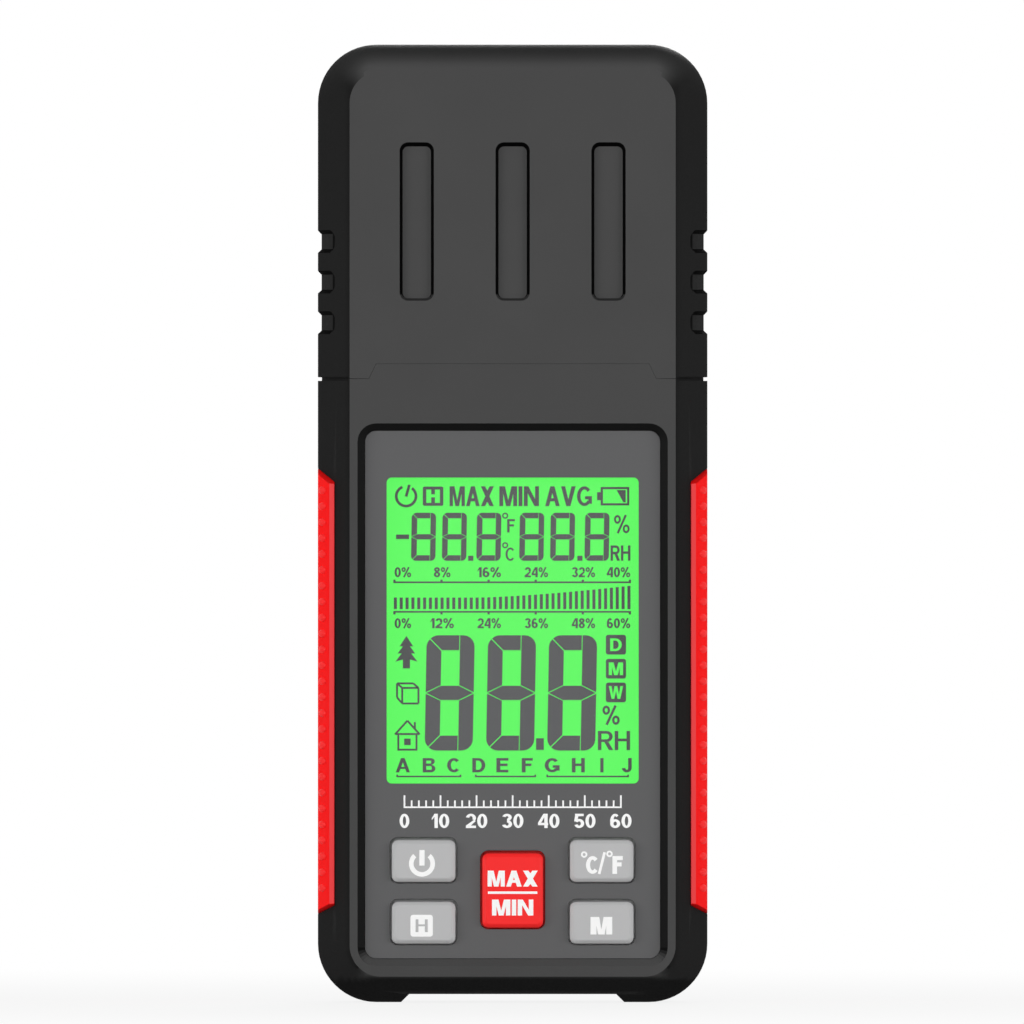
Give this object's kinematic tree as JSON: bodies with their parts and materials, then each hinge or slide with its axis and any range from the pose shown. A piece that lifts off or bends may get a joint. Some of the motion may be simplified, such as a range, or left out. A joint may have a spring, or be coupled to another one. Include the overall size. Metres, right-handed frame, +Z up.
{
  "type": "moisture meter",
  "caption": "Handheld pin-type moisture meter with a tall lit display, rubber side grips, a row of raised keys and a pull-off cap over two pointed electrodes.",
  "frame": {"origin": "on the ground under the middle of the body, at the bottom of the two feet", "axes": "+Z up along the length to the cap, -Y out of the display, +X to the right seen from the front"},
  "size_m": [0.06, 0.028, 0.1475],
  "materials": {
    "shell": "fine matt texture",
    "rear_shell": "fine matt texture",
    "seal": "soft satin",
    "grip": "satin with fine dots",
    "panel": "fine satin",
    "lens": "clear and glossy",
    "lcd": "smooth, lit from behind",
    "white_plastic": "satin",
    "guide": "clear and frosted",
    "led": "glossy",
    "strip": "satin",
    "board": "solder mask",
    "chip": "matt",
    "silicone": "soft matt",
    "key": "satin",
    "red_key": "satin",
    "insulator": "satin",
    "brass": "turned",
    "steel": "bright plated",
    "lead": "smooth",
    "cell": "smooth wrapper"
  },
  "bodies": {
    "case": {"front_case": "shell", "rear_case": "rear_shell", "cap_seal": "seal", "left_grip": "grip", "right_grip": "grip", "face_panel": "panel", "display_lens": "lens", "display_gasket": "seal", "lcd_cell": "lcd", "lcd_holder": "white_plastic", "light_guide": "guide", "backlight_leds": "led", "zebra_strips": "strip", "main_board": "board", "board_chips": "chip", "keypad_sheet": "silicone", "keypad_domes": "silicone", "probe_block": "insulator", "pin_sockets": "brass", "left_electrode": "steel", "right_electrode": "steel", "pin_collars": "steel", "probe_leads": "lead", "humidity_sensor": "white_plastic", "buzzer": "chip", "battery_cells": "cell", "battery_springs": "steel", "battery_contacts": "steel", "case_screws": "steel", "board_screws": "steel"},
    "cap": {"cap": "shell"},
    "power_key": {"power_key": "key"},
    "hold_key": {"hold_key": "key"},
    "max_min_key": {"max_min_key": "red_key"},
    "unit_key": {"unit_key": "key"},
    "mode_key": {"mode_key": "key"},
    "door": {"battery_door": "rear_shell", "door_latch": "rear_shell"}
  },
  "joints": [
    {"name": "cap_slide", "type": "slide", "parent": "case", "child": "cap", "axis": [0, 0, 1], "range_m": [0, 0.05]},
    {"name": "power_press", "type": "slide", "parent": "case", "child": "power_key", "axis": [0, 1, 0], "range_m": [0, 0.0008], "stiffness_N_per_m": 1200, "deforming": ["keypad_domes"]},
    {"name": "hold_press", "type": "slide", "parent": "case", "child": "hold_key", "axis": [0, 1, 0], "range_m": [0, 0.0008], "stiffness_N_per_m": 1200, "deforming": ["keypad_domes"]},
    {"name": "max_min_press", "type": "slide", "parent": "case", "child": "max_min_key", "axis": [0, 1, 0], "range_m": [0, 0.0008], "stiffness_N_per_m": 1400, "deforming": ["keypad_domes"]},
    {"name": "unit_press", "type": "slide", "parent": "case", "child": "unit_key", "axis": [0, 1, 0], "range_m": [0, 0.0008], "stiffness_N_per_m": 1200, "deforming": ["keypad_domes"]},
    {"name": "mode_press", "type": "slide", "parent": "case", "child": "mode_key", "axis": [0, 1, 0], "range_m": [0, 0.0008], "stiffness_N_per_m": 1200, "deforming": ["keypad_domes"]},
    {"name": "door_hinge", "type": "hinge", "parent": "case", "child": "door", "pos_m": [0, 0.0126, 0.0134], "axis": [-1, 0, 0], "range_deg": [0, 80], "deforming": ["door_latch"]}
  ]
}
